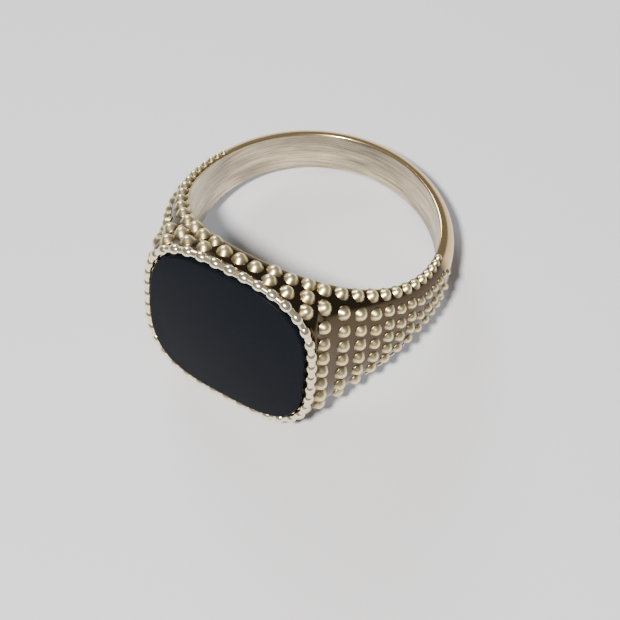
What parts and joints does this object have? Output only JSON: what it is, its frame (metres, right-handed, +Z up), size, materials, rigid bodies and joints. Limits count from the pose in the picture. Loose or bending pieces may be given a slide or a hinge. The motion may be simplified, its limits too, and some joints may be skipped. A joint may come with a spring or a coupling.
{
  "type": "signet ring",
  "caption": "Cushion signet ring: flat black stone in a beaded bezel, on a tapering gold-tone band with rows of raised grains and a plain back.",
  "frame": {"origin": "centre of the footprint of the ring lying on its side, on the surface it rests on", "axes": "+Z up from the surface; the stone faces -Y and a little up; the bore leans 15.9 degrees off +Z towards +Y; +X across the ring, to the right seen from the stone"},
  "size_m": [0.022, 0.024, 0.0148],
  "materials": {
    "gold_band": "polished pale gold plate outside, brushed inside the bore",
    "gold_bezel": "bright polished pale gold plate",
    "gold_grains": "polished grains, darker in the hollows between them",
    "cement": "cured clear-grey setting cement, hidden under the stone",
    "onyx": "flat black stone with a fine satin polish"
  },
  "bodies": {
    "root": {"ring_body": "gold_band", "bezel_collar": "gold_bezel", "bezel_grains": "gold_bezel", "shoulder_grains_right": "gold_grains", "shoulder_grains_left": "gold_grains", "side_grains_upper": "gold_grains", "side_grains_lower": "gold_grains", "stone_cement": "cement", "black_stone": "onyx"}
  },
  "joints": []
}
